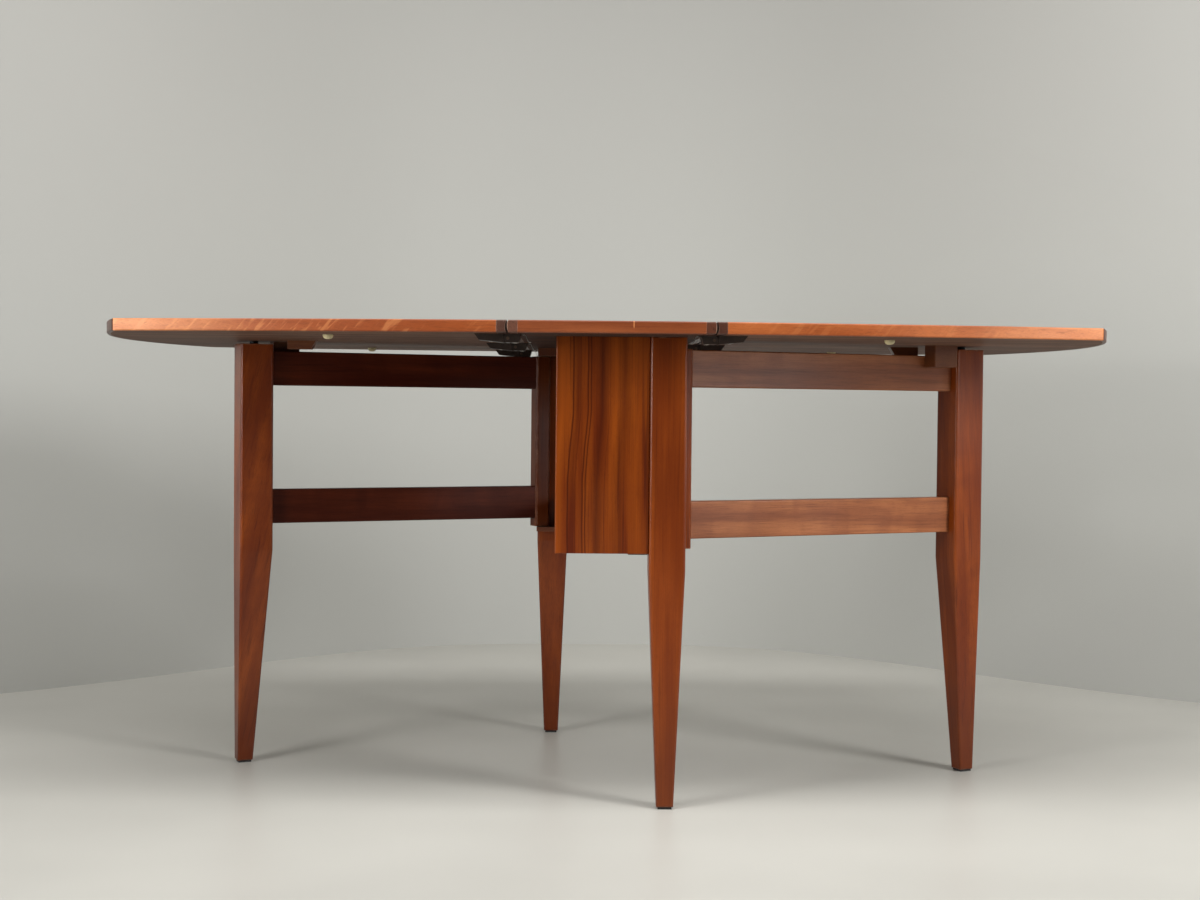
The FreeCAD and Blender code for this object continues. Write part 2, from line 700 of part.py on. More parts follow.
def check_and_write():
    """Recompute, refuse broken pieces and write one file for each node."""
    doc.recompute()
    for item in doc.Objects:
        if "Invalid" in item.State or "Error" in item.State:
            raise RuntimeError(f"{item.Label} is in state {item.State}")
    os.makedirs("parts", exist_ok=True)
    for piece in nodes:
        shape = piece.Shape
        if shape.isNull() or not shape.isValid() or not shape.Solids:
            raise RuntimeError(f"{piece.Label} has no sound solid")
        shape.exportStep(f"parts/{piece.Label}.step")


fill_sheet()
make_top()
make_frame()
for table_side in ("right", "left"):
    make_bearers(table_side)
    make_gate(table_side)
    make_leaf_fittings(table_side)
    make_hinges(table_side)
check_and_write()
print(len(nodes), "pieces written")
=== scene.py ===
import math

import bmesh
import bpy
import numpy as np
from bpy.props import FloatProperty, FloatVectorProperty, PointerProperty
from mathutils import Matrix, Vector


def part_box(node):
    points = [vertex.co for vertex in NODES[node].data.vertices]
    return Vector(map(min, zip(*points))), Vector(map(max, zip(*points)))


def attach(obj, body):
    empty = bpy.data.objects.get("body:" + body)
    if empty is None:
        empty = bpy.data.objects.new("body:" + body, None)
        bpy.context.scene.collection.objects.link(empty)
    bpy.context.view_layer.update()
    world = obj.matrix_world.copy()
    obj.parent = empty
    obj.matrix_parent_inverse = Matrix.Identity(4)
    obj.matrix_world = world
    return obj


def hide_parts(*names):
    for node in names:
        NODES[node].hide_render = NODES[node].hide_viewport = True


bl_info = {
    "name": "Drop-leaf Table Finish",
    "version": (1, 0, 0),
    "blender": (4, 5, 0),
    "location": "3D View > Sidebar > Table",
    "description": "Dresses a gate-leg drop-leaf table in satin hardwood and sets up a plain studio",
    "category": "Object",
}

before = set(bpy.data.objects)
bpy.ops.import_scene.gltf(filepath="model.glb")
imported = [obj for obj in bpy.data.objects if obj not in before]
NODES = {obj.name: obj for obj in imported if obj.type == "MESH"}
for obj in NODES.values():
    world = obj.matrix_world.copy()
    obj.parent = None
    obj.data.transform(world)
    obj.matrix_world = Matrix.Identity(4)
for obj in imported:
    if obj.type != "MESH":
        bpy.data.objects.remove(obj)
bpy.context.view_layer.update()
SIDES = ("right", "left")
# Height of the boards' underside, and the distance from the middle to each hinge axis
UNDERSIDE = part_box("centre_board")[0][2]
JOINT_LINE = sum(corner[0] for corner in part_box("right_hinge_pins")) / 2


def colour(name, description, default):
    """A colour setting with three channels."""
    return FloatVectorProperty(name=name, description=description, default=default,
                               subtype="COLOR", size=3, min=0.0, max=1.0)


def length(name, description, default):
    """A length setting in metres."""
    return FloatProperty(name=name, description=description, default=default,
                         unit="LENGTH", subtype="DISTANCE", min=0.0)


def turn(name, description, degrees):
    """An angle setting, shown in degrees."""
    return FloatProperty(name=name, description=description, default=math.radians(degrees),
                         unit="ROTATION", subtype="ANGLE")


class TableWoods(bpy.types.PropertyGroup):
    """Colours of the table's woods, each as its light and its dark tone."""
    top_light: colour("Top light", "Light tone of the table top", (0.36, 0.125, 0.035))
    top_dark: colour("Top dark", "Dark tone of the table top", (0.19, 0.05, 0.012))
    under_light: colour("Underside light", "Light tone of the underside", (0.190, 0.088, 0.046))
    under_dark: colour("Underside dark", "Dark tone of the underside", (0.090, 0.036, 0.018))
    edge_light: colour("Edge light", "Light tone of the leaf edges", (0.40, 0.112, 0.030))
    edge_dark: colour("Edge dark", "Dark tone of the leaf edges", (0.245, 0.052, 0.010))
    # Tones of the painted glare toward the ends of the leaf edging; the light one also tints the curly
    # figure and the seam
    pale_edge_and_glare_light: colour("Edge end light", "Light tone of the edges at the ends", (0.80, 0.33, 0.12))
    edge_glare_dark: colour("Edge end dark", "Dark tone of the edges at the ends", (0.52, 0.165, 0.045))
    centre_edge_light: colour("Centre edge light", "Light tone of the centre's edges", (0.30, 0.086, 0.028))
    centre_edge_dark: colour("Centre edge dark", "Dark tone of the centre's edges", (0.18, 0.042, 0.012))
    panel_light: colour("Panel light", "Light tone of the upright panels", (0.285, 0.059, 0.004))
    panel_dark: colour("Panel dark", "Dark tone of the upright panels", (0.11, 0.0125, 0.001))
    leg_light: colour("Leg light", "Light tone of the legs", (0.285, 0.058, 0.006))
    leg_dark: colour("Leg dark", "Dark tone of the legs", (0.150, 0.0235, 0.0022))
    # The gate rails are lit and shaded copies of one timber: the right gate's brighter and paler as painted
    # light and sheen, the left gate's darkened as painted shade
    painted_lit_rail_light: colour("Rail light", "Light tone of the right gate's rails", (0.42, 0.150, 0.056))
    painted_lit_rail_dark: colour("Rail dark", "Dark tone of the right gate's rails", (0.20, 0.060, 0.024))
    painted_shade_rail_light: colour("Shaded rail light", "Light tone of the left gate's rails", (0.105, 0.020, 0.007))
    painted_shade_rail_dark: colour("Shaded rail dark", "Dark tone of the left gate's rails", (0.050, 0.0075, 0.003))
    lipping_light: colour("Lipping light", "Light tone of the joint lippings", (0.125, 0.0475, 0.028))
    lipping_dark: colour("Lipping dark", "Dark tone of the joint lippings", (0.058, 0.021, 0.012))
    frame_light: colour("Frame light", "Light tone of the hidden rails and bearers", (0.16, 0.05, 0.02))
    frame_dark: colour("Frame dark", "Dark tone of the hidden rails and bearers", (0.08, 0.02, 0.008))
    stop_light: colour("Stop light", "Light tone of the gate stops", (0.19, 0.062, 0.022))
    stop_dark: colour("Stop dark", "Dark tone of the gate stops", (0.10, 0.029, 0.009))


class TableFittings(bpy.types.PropertyGroup):
    """Colours and sizes of the fittings."""
    hinge_tone: colour("Hinge", "Colour of the moulded hinge bodies", (0.022, 0.013, 0.009))
    steel_tone: colour("Steel", "Colour of the screws and spring clips", (0.55, 0.53, 0.50))
    pin_tone: colour("Pin", "Colour of the aged hinge and pivot pins", (0.22, 0.15, 0.11))
    glide_tone: colour("Glide", "Colour of the glides under the feet", (0.012, 0.010, 0.009))
    buffer_tone: colour("Buffer", "Colour of the domed buffers", (0.50, 0.43, 0.25))
    screw_radius: length("Screw head", "Radius of the screw heads", 0.0034)
    screw_rise: length("Screw rise", "How far a screw head stands out", 0.0007)
    clip_width: length("Clip width", "Width of the spring clip beside a hinge", 0.009)
    clip_thickness: length("Clip thickness", "Thickness of the spring clip", 0.0009)


class TableStudio(bpy.types.PropertyGroup):
    """The studio round the table and the camera in front of it."""
    floor_tone: colour("Floor", "Colour of the floor", (0.51, 0.497, 0.452))
    wall_tone: colour("Wall", "Colour of the backdrop", (0.465, 0.464, 0.434))
    air_strength: FloatProperty(name="Air", description="Strength of the light from all round",
                                default=0.02, min=0.0)
    sky_strength: FloatProperty(name="Surroundings", description="Brightness of the surroundings in view",
                                default=0.07, min=0.0)
    camera_height: length("Camera height", "Height of the camera above the floor", 0.6066)
    camera_distance: length("Camera distance", "Distance of the camera from the table's middle", 2.885)
    camera_offset: FloatProperty(name="Camera offset", description="Sideways place of the camera",
                                 default=-0.0611, unit="LENGTH", subtype="DISTANCE")
    camera_yaw: turn("Camera yaw", "Turn of the camera to the right", 1.06)
    camera_pitch: turn("Camera pitch", "Tilt of the camera below level", 1.44)
    camera_roll: turn("Camera roll", "Lean of the camera", 0.54)
    focal_length: FloatProperty(name="Focal length", description="Focal length for a 36 mm wide frame",
                                default=51.4, min=1.0)


SETTINGS = {"table_woods": TableWoods, "table_fittings": TableFittings, "table_studio": TableStudio}


# Node tools

def new_tree(name):
    """An empty node material and its shader."""
    material = bpy.data.materials.new(name)
    material.use_nodes = True
    tree = material.node_tree
    shader = next(node for node in tree.nodes if node.type == "BSDF_PRINCIPLED")
    return material, tree, shader


def add(tree, kind, **values):
    """A node with its properties set; other names set inputs, with a space for each underscore."""
    node = tree.nodes.new("ShaderNode" + kind)
    for key, value in values.items():
        if hasattr(node, key):
            setattr(node, key, value)
        else:
            node.inputs[key.replace("_", " ")].default_value = value
    return node


def join(tree, source, target):
    """A link from one socket to another."""
    tree.links.new(source, target)


def math_node(tree, operation, first, second=None, third=None, clamp=False):
    """The result socket of a math node; numbers and sockets may be mixed."""
    node = tree.nodes.new("ShaderNodeMath")
    node.operation = operation
    node.use_clamp = clamp
    for socket, value in zip(node.inputs, (first, second, third)):
        if isinstance(value, bpy.types.NodeSocket):
            join(tree, value, socket)
        elif value is not None:
            socket.default_value = value
    return node.outputs[0]


def blend_colour(tree, factor, first, second, mode="MIX"):
    """The result socket of a colour mix; numbers, colours and sockets may be mixed."""
    node = tree.nodes.new("ShaderNodeMix")
    node.data_type = "RGBA"
    node.blend_type = mode
    for socket, value in ((node.inputs[0], factor), (node.inputs[6], first), (node.inputs[7], second)):
        if isinstance(value, bpy.types.NodeSocket):
            join(tree, value, socket)
        elif isinstance(value, (int, float)):
            socket.default_value = value
        else:
            socket.default_value = (*value, 1.0) if len(value) == 3 else value
    return node.outputs[2]


def ramp(tree, source, low, high):
    """A socket that rises from 0 to 1 as the source goes from low to high."""
    node = add(tree, "MapRange", interpolation_type="SMOOTHSTEP", From_Min=low, From_Max=high)
    join(tree, source, node.inputs["Value"])
    return node.outputs["Result"]


def object_place(tree):
    """The object coordinates as a socket."""
    return add(tree, "TexCoord").outputs["Object"]


def object_axis(tree, axis):
    """One axis of the object coordinates as a socket."""
    parts = add(tree, "SeparateXYZ")
    join(tree, object_place(tree), parts.inputs[0])
    return parts.outputs[axis]


def band(tree, source, centre, half_width):
    """A socket that is 1 at a centre value and falls to 0 at a distance from it."""
    away = math_node(tree, "ABSOLUTE", math_node(tree, "SUBTRACT", source, centre))
    return math_node(tree, "MULTIPLY_ADD", away, -1.0 / half_width, 1.0, clamp=True)


def noise(tree, vector, scale, detail=2.0, roughness=0.5, distortion=0.0):
    """The value socket of a noise over a vector socket."""
    node = add(tree, "TexNoise", Scale=scale, Detail=detail, Roughness=roughness, Distortion=distortion)
    join(tree, vector, node.inputs["Vector"])
    return node.outputs[0]


def stretched(tree, vector, scale, lean=(0.0, 0.0, 0.0)):
    """A vector socket scaled differently along its axes and then turned by a lean."""
    node = add(tree, "Mapping", Scale=scale, Rotation=lean)
    join(tree, vector, node.inputs["Vector"])
    return node.outputs["Vector"]


def new_group(name, inputs, outputs):
    """An empty shader node group with named sockets, and its input and output nodes."""
    tree = bpy.data.node_groups.new(name, "ShaderNodeTree")
    for label, kind, default in inputs:
        socket = tree.interface.new_socket(name=label, in_out="INPUT", socket_type=kind)
        if default is not None:
            socket.default_value = default
    for label, kind in outputs:
        tree.interface.new_socket(name=label, in_out="OUTPUT", socket_type=kind)
    return tree, tree.nodes.new("NodeGroupInput"), tree.nodes.new("NodeGroupOutput")


# Turn of the fine noises round the grain, and how far the broad ones sway aside in metres
GRID_LEAN = (0.62, 0.0, 0.0)
SWAY = (0.0, 0.018, 0.018)
# Roughness of plain wood, and the roughness below which no wood goes
SATIN = 0.30
GLOSSIEST = 0.29


def wood_group():
    """Hardwood grain: the X axis of the incoming vector runs along the grain, in metres.

    Broad tone from a long soft noise, growth lines from a noise seventy times longer than wide,
    still finer lines, a wavy figure, and short dark pores. The height comes from lines and pores.
    The broad tone and the figure sway a little aside; the fine noises run straight and are
    turned round the grain, so that no flat face cuts them along their own grid.
    """
    name = "Hardwood grain"
    if name in bpy.data.node_groups:
        return bpy.data.node_groups[name]
    inputs = [("Vector", "NodeSocketVector", None), ("Light", "NodeSocketColor", (0.3, 0.1, 0.03, 1)),
              ("Dark", "NodeSocketColor", (0.15, 0.04, 0.01, 1)), ("Streaks", "NodeSocketFloat", 0.5),
              ("Figure", "NodeSocketFloat", 0.3), ("Pores", "NodeSocketFloat", 0.4)]
    outputs = [("Color", "NodeSocketColor"), ("Roughness", "NodeSocketFloat"), ("Height", "NodeSocketFloat")]
    tree, start, end = new_group(name, inputs, outputs)
    vector = start.outputs["Vector"]
    sway = noise(tree, stretched(tree, vector, (1.6, 3.0, 3.0)), 1.0, 1.0)
    shifted = add(tree, "VectorMath", operation="MULTIPLY_ADD")
    join(tree, sway, shifted.inputs[0])
    shifted.inputs[1].default_value = SWAY
    join(tree, vector, shifted.inputs[2])
    grain = shifted.outputs[0]
    broad = noise(tree, stretched(tree, grain, (1.8, 26.0, 26.0)), 1.0, 3.0, 0.55)
    lines = noise(tree, stretched(tree, vector, (3.0, 210.0, 210.0), GRID_LEAN), 1.0, 3.0, 0.6)
    thin = noise(tree, stretched(tree, vector, (7.0, 900.0, 900.0), GRID_LEAN), 1.0, 2.0, 0.5)
    figure = noise(tree, stretched(tree, grain, (16.0, 10.0, 10.0)), 1.0, 2.0, 0.5, 0.6)
    pores = noise(tree, stretched(tree, vector, (110.0, 2600.0, 2600.0), GRID_LEAN), 1.0, 1.0, 0.5)
    tone = ramp(tree, broad, 0.32, 0.70)
    base = blend_colour(tree, tone, start.outputs["Dark"], start.outputs["Light"])
    waved = math_node(tree, "MULTIPLY", ramp(tree, figure, 0.40, 0.66), start.outputs["Figure"])
    base = blend_colour(tree, waved, base, start.outputs["Dark"])
    line_mask = math_node(tree, "MULTIPLY", ramp(tree, lines, 0.54, 0.72), start.outputs["Streaks"])
    darker = blend_colour(tree, 1.0, start.outputs["Dark"], (0.42, 0.36, 0.34), "MULTIPLY")
    base = blend_colour(tree, line_mask, base, darker)
    thin_mask = math_node(tree, "MULTIPLY", ramp(tree, thin, 0.45, 0.75), 0.35)
    base = blend_colour(tree, thin_mask, base, darker)
    pore_mask = math_node(tree, "MULTIPLY", ramp(tree, pores, 0.60, 0.72), start.outputs["Pores"])
    base = blend_colour(tree, pore_mask, base, darker)
    join(tree, base, end.inputs["Color"])
    rough = math_node(tree, "MULTIPLY_ADD", pore_mask, 0.25, SATIN)
    join(tree, math_node(tree, "MULTIPLY_ADD", line_mask, 0.08, rough), end.inputs["Roughness"])
    height = math_node(tree, "SUBTRACT", math_node(tree, "MULTIPLY", lines, 0.4), pore_mask)
    join(tree, height, end.inputs["Height"])
    return tree


def wear_group():
    """Edges and use: a mask on sharp edges, faint scuffs, and large soft patches of sheen."""
    name = "Edge and use"
    if name in bpy.data.node_groups:
        return bpy.data.node_groups[name]
    inputs = [("Vector", "NodeSocketVector", None), ("Width", "NodeSocketFloat", 0.0012)]
    outputs = [("Edge", "NodeSocketFloat"), ("Scuffs", "NodeSocketFloat"), ("Sheen", "NodeSocketFloat")]
    tree, start, end = new_group(name, inputs, outputs)
    rounded = add(tree, "Bevel", samples=6)
    join(tree, start.outputs["Width"], rounded.inputs["Radius"])
    surface = add(tree, "NewGeometry")
    facing = add(tree, "VectorMath", operation="DOT_PRODUCT")
    join(tree, rounded.outputs["Normal"], facing.inputs[0])
    join(tree, surface.outputs["Normal"], facing.inputs[1])
    edge = math_node(tree, "SUBTRACT", 1.0, facing.outputs["Value"])
    uneven = noise(tree, start.outputs["Vector"], 45.0, 3.0, 0.6)
    edge = math_node(tree, "MULTIPLY", ramp(tree, edge, 0.02, 0.20), ramp(tree, uneven, 0.35, 0.65))
    join(tree, edge, end.inputs["Edge"])
    marks = noise(tree, stretched(tree, start.outputs["Vector"], (260.0, 240.0, 60.0)), 1.0, 3.0, 0.6)
    join(tree, ramp(tree, marks, 0.58, 0.95), end.inputs["Scuffs"])
    soft = noise(tree, start.outputs["Vector"], 5.0, 2.0, 0.5)
    join(tree, ramp(tree, soft, 0.3, 0.7), end.inputs["Sheen"])
    return tree


def place_group(tree, group, vector):
    """A group node fed with a vector."""
    node = tree.nodes.new("ShaderNodeGroup")
    node.node_tree = group
    join(tree, vector, node.inputs["Vector"])
    return node


# Turns that lay the grain along each axis of a piece
ALONG_X = (0.0, 0.0, 0.0)
ALONG_Y = (0.0, 0.0, -math.pi / 2)
ALONG_Z = (0.0, math.pi / 2, 0.0)


def grain_vector(tree, direction, shift=(0.0, 0.0, 0.0)):
    """Object coordinates turned so that X runs along a direction and moved by a shift."""
    node = add(tree, "Mapping", vector_type="POINT", Rotation=direction, Location=shift)
    join(tree, object_place(tree), node.inputs["Vector"])
    return node.outputs["Vector"]


def grain_node(tree, light, dark, vector, **amounts):
    """The grain group over a vector, with its two tones and any amounts of its other inputs."""
    node = place_group(tree, wood_group(), vector)
    for label, value in {"Light": (*light, 1), "Dark": (*dark, 1), **amounts}.items():
        node.inputs[label].default_value = value
    return node


# Pale tone of edges: partly real wear, partly a painted highlight where corners catch the light
WEAR_AND_HIGHLIGHT_TONE = (0.95, 0.62, 0.40)


def wood(name, light, dark, direction, shift=(0, 0, 0), streaks=0.5, figure=0.3, pores=0.4, gloss=0.0,
         coat=0.06, worn_width=0.0012, worn=0.35, roundness=0.0012):
    """Satin hardwood with grain along a direction, a thin lacquer and softly worn edges.

    Streaks, figure and pores are amounts, and gloss is taken off the roughness. Edges are made paler
    over a width, as strongly as told, partly as real wear and partly as a painted highlight on corners,
    and are shaded as if rounded.
    """
    material, tree, shader = new_tree(name)
    grain = grain_node(tree, light, dark, grain_vector(tree, direction, shift),
                       Streaks=streaks, Figure=figure, Pores=pores)
    wear = place_group(tree, wear_group(), object_place(tree))
    wear.inputs["Width"].default_value = worn_width
    # Pale edges: partly real wear, partly a painted highlight
    paler = tuple(0.5 * (channel + pale) for channel, pale in zip(light, WEAR_AND_HIGHLIGHT_TONE))
    edged = blend_colour(tree, math_node(tree, "MULTIPLY", wear.outputs["Edge"], worn),
                         grain.outputs["Color"], paler)
    scuffed = blend_colour(tree, math_node(tree, "MULTIPLY", wear.outputs["Scuffs"], 0.10), edged, dark)
    join(tree, scuffed, shader.inputs["Base Color"])
    rough = math_node(tree, "MULTIPLY_ADD", wear.outputs["Sheen"], 0.10, grain.outputs["Roughness"])
    rough = math_node(tree, "MULTIPLY_ADD", wear.outputs["Scuffs"], 0.08, rough)
    rough = math_node(tree, "MAXIMUM", math_node(tree, "SUBTRACT", rough, gloss), GLOSSIEST)
    join(tree, rough, shader.inputs["Roughness"])
    bump = add(tree, "Bump", Strength=0.12, Distance=0.0003)
    join(tree, grain.outputs["Height"], bump.inputs["Height"])
    soft = add(tree, "Bevel", samples=8, Radius=roundness)
    join(tree, soft.outputs["Normal"], bump.inputs["Normal"])
    join(tree, bump.outputs["Normal"], shader.inputs["Normal"])
    shader.inputs["Coat Weight"].default_value = coat
    shader.inputs["Coat Roughness"].default_value = 0.22
    shader.inputs["Specular IOR Level"].default_value = 0.3 if coat > 0.0 else 0.15
    return material, tree, shader


def tint(tree, shader, mask, strength, tone):
    """Blend a tone over a shader's colour where a mask is, as strongly as told."""
    under = shader.inputs["Base Color"].links[0].from_socket
    amount = math_node(tree, "MULTIPLY", mask, strength)
    join(tree, blend_colour(tree, amount, under, tone), shader.inputs["Base Color"])


def settings(name):
    """A group of settings by its name."""
    return getattr(bpy.context.scene, name)


def dress(node, material):
    """Give a CAD node one material."""
    item = NODES[node]
    item.data.materials.clear()
    item.data.materials.append(material)


def shaded(tone, shade):
    """A tone times a shade: one number, or one for each channel."""
    return tuple(np.array(tone) * shade)


# Materials of the table

VENEER_THICKNESS = 0.0006


def board_material(name, shift, shade, dullness):
    """Veneered board: warm polished face above, dull grey-brown face below, told apart by height.

    The shade darkens the face below as painted shade, as on the centre board deep under the table,
    and the dullness is added to its roughness.
    """
    tones = settings("table_woods")
    material, tree, shader = wood(name, tones.top_light, tones.top_dark, ALONG_X, shift,
                                  streaks=0.35, figure=0.25, gloss=0.05)
    top = shader.inputs["Base Color"].links[0].from_socket
    vector = grain_vector(tree, ALONG_X, (shift[0] + 3.1, shift[1] + 1.7, 0.4))
    below = grain_node(tree, shaded(tones.under_light, shade), shaded(tones.under_dark, shade), vector,
                       Streaks=0.8, Figure=0.5)
    lower = math_node(tree, "LESS_THAN", object_axis(tree, "Z"), UNDERSIDE + VENEER_THICKNESS)
    join(tree, blend_colour(tree, lower, top, below.outputs["Color"]), shader.inputs["Base Color"])
    rough = shader.inputs["Roughness"].links[0].from_socket
    join(tree, math_node(tree, "MULTIPLY_ADD", lower, dullness, rough), shader.inputs["Roughness"])
    return material


def edge_material(name, light, dark, shift, figure):
    """Solid edging with its grain along the table and a wavy figure in places."""
    return wood(name, light, dark, ALONG_X, shift, streaks=0.25, figure=figure, pores=0.5, gloss=-0.02)


def wavy_figure(tree, shader, tone, strength, lean):
    """Slanting waves across an edge, close together, as curly timber shows them."""
    slanted = grain_vector(tree, (0.0, lean, 0.0))
    waves = noise(tree, stretched(tree, slanted, (150.0, 8.0, 22.0)), 1.0, 2.0, 0.55, 0.4)
    patches = noise(tree, object_place(tree), 7.0, 1.0)
    mask = math_node(tree, "MULTIPLY", ramp(tree, waves, 0.50, 0.66), ramp(tree, patches, 0.40, 0.56))
    tint(tree, shader, mask, strength, tone)


# Along X: where the painted glare on the edging starts, where it is brightest, and where the dark end piece
# starts
GLARE_START = 0.50
GLARE_END = 0.71
CORNER_PLACE = 0.7300
CORNER_SOFTNESS = 0.0012
CURL_LEAN = -0.75


def leaf_edge_material(name, shift, figure, waves):
    """Edging of a leaf: a painted glare, paler and brighter, toward the end of the table, and dark timber
    across the end itself.
    """
    tones = settings("table_woods")
    material, tree, shader = edge_material(name, tones.edge_light, tones.edge_dark, shift, figure)
    away = math_node(tree, "ABSOLUTE", object_axis(tree, "X"))
    ends = grain_node(tree, tones.pale_edge_and_glare_light, tones.edge_glare_dark, grain_vector(tree, ALONG_X, shift))
    # Painted glare: the edging grows paler and brighter toward the table's end
    tint(tree, shader, ramp(tree, away, GLARE_START, GLARE_END), 0.9, ends.outputs["Color"])
    wavy_figure(tree, shader, tones.pale_edge_and_glare_light, waves, CURL_LEAN)
    dark = grain_node(tree, tones.lipping_light, tones.lipping_dark, grain_vector(tree, ALONG_Y, shift))
    corner = ramp(tree, away, CORNER_PLACE, CORNER_PLACE + CORNER_SOFTNESS)
    tint(tree, shader, corner, 1.0, dark.outputs["Color"])
    return material, tree, shader


NICK_PLACE = (0.622, -0.399, 0.7295)
NICK_RADIUS = 0.0045


def add_nick(tree, shader, tone):
    """A small old knock in the upper edge of the right leaf."""
    away = add(tree, "VectorMath", operation="DISTANCE")
    join(tree, object_place(tree), away.inputs[0])
    away.inputs[1].default_value = NICK_PLACE
    tint(tree, shader, band(tree, away.outputs["Value"], 0.0, NICK_RADIUS), 0.9, tone)


# The seam in the front edging: its place along the table, its half width, and the height where it fades
SEAM_PLACE = 0.0313
SEAM_HALF_WIDTH = 0.0010
SEAM_FADE = (UNDERSIDE + 0.0065, UNDERSIDE + 0.0105)


def add_seam(tree, shader):
    """The pale joint between two lengths of edging, in the upper part of the front edge."""
    tones = settings("table_woods")
    line = band(tree, object_axis(tree, "X"), SEAM_PLACE, SEAM_HALF_WIDTH)
    front = math_node(tree, "LESS_THAN", object_axis(tree, "Y"), 0.0)
    upper = ramp(tree, object_axis(tree, "Z"), *SEAM_FADE)
    mask = math_node(tree, "MULTIPLY", math_node(tree, "MULTIPLY", line, front), upper)
    tint(tree, shader, mask, 0.75, tones.pale_edge_and_glare_light)


# Where a painted highlight runs pale along the joint on the centre's lipping, and the tone of that highlight
JOINT_HIGHLIGHT_STRIP = (JOINT_LINE - 0.0020, JOINT_LINE - 0.0007)
JOINT_HIGHLIGHT_TONE = (0.50, 0.33, 0.24)


def end_grain_material(name, light, dark, shift, worn):
    """Lipping: straight grain on its long faces, specks all over, and a pale painted highlight along the
    joint if told.
    """
    material, tree, shader = wood(name, light, dark, ALONG_Y, shift, streaks=0.8, figure=0.1)
    specks = noise(tree, stretched(tree, object_place(tree), (1500.0, 60.0, 1500.0)), 1.0)
    tint(tree, shader, ramp(tree, specks, 0.54, 0.68), 0.45, shaded(light, 1.9))
    # The pale strip along the joint is a painted highlight on the lipping's rounded edge
    if worn:
        away = math_node(tree, "ABSOLUTE", object_axis(tree, "X"))
        tint(tree, shader, ramp(tree, away, *JOINT_HIGHLIGHT_STRIP), 0.55, JOINT_HIGHLIGHT_TONE)
    return material


# Streaks of the panel veneer, each by its place across, half width and strength
DARK_STREAKS = (
    (-0.0540, 0.0020, 0.95), (-0.0320, 0.0018, 0.95), (-0.0275, 0.0016, 0.90), (-0.0430, 0.0012, 0.50),
    (-0.0105, 0.0105, 0.70), (0.0225, 0.0120, 0.40), (-0.0480, 0.0075, 0.35), (0.0010, 0.0010, 0.40),
)
PALE_STREAKS = ((0.0450, 0.0120, 0.25), (-0.0700, 0.0100, 0.60), (0.0090, 0.0060, 0.30))
# How far the streaks drift aside between two heights, and how far they wander on the way
DRIFT = 0.0075
DRIFT_HEIGHTS = (0.62, 0.48)
WANDER = 0.0050


def panel_material(name, facing, shift):
    """Upright veneer with dark wandering lines, soft dark streaks and paler ones between them.

    The streaks keep their place across the panel and drift a little aside lower down.
    """
    tones = settings("table_woods")
    material, tree, shader = wood(name, tones.panel_light, tones.panel_dark, ALONG_Z, shift,
                                  streaks=0.6, figure=0.1, gloss=0.04)
    across = math_node(tree, "MULTIPLY", object_axis(tree, "X"), facing)
    lowness = ramp(tree, object_axis(tree, "Z"), *DRIFT_HEIGHTS)
    across = math_node(tree, "MULTIPLY_ADD", lowness, DRIFT, across)
    wander = noise(tree, stretched(tree, object_place(tree), (2.0, 1.0, 11.0)), 1.0, 2.0)
    across = math_node(tree, "MULTIPLY_ADD", math_node(tree, "SUBTRACT", wander, 0.5), WANDER, across)
    pale = shaded(tones.panel_light, 1.12)
    deep = shaded(tones.panel_dark, 0.45)
    for streaks, tone in ((PALE_STREAKS, pale), (DARK_STREAKS, deep)):
        for centre, half_width, strength in streaks:
            tint(tree, shader, band(tree, across, centre, half_width), strength, tone)
    return material


PAINTED_FOOT_SHADE_TOP = 0.24
# Width of the pale leg corners, widened into a painted highlight
LEG_HIGHLIGHT_WIDTH = 0.0045
LEG_ROUNDNESS = 0.0040


def leg_material(name, shift, lean=0.0, figure=0.25, coat=0.06, shade=1.0):
    """Leg timber with upright grain, a lean of the grain where told, and painted shade: darker toward the
    foot, and darker all over by a shade where told.
    """
    tones = settings("table_woods")
    direction = (0.0, math.pi / 2 - lean, 0.0)
    light, dark = shaded(tones.leg_light, shade), shaded(tones.leg_dark, shade)
    # Leg corners are paler and wider than other edges: a painted highlight along the rounded corners
    material, tree, shader = wood(name, light, dark, direction, shift, figure=figure, gloss=0.06, coat=coat,
                                  worn_width=LEG_HIGHLIGHT_WIDTH, worn=0.6, roundness=LEG_ROUNDNESS)
    # Painted shade: the leg grows darker toward the floor
    foot = ramp(tree, object_axis(tree, "Z"), PAINTED_FOOT_SHADE_TOP, 0.0)
    tint(tree, shader, foot, 0.55, shaded(tones.leg_dark, 0.5))
    return material


def moulded_material(name, tone, roughness):
    """Moulded plastic or paint: fine grain in the gloss and a slight mottle."""
    material, tree, shader = new_tree(name)
    vector = object_place(tree)
    fine = noise(tree, vector, 900.0, 2.0, 0.5)
    mottle = ramp(tree, noise(tree, vector, 60.0, 3.0, 0.6), 0.35, 0.75)
    lighter = tuple(min(1.0, channel * 1.7 + 0.006) for channel in tone)
    join(tree, blend_colour(tree, mottle, tone, lighter), shader.inputs["Base Color"])
    join(tree, math_node(tree, "MULTIPLY_ADD", fine, 0.18, roughness), shader.inputs["Roughness"])
    bump = add(tree, "Bump", Strength=0.15, Distance=0.0001)
    join(tree, fine, bump.inputs["Height"])
    join(tree, bump.outputs["Normal"], shader.inputs["Normal"])
    return material


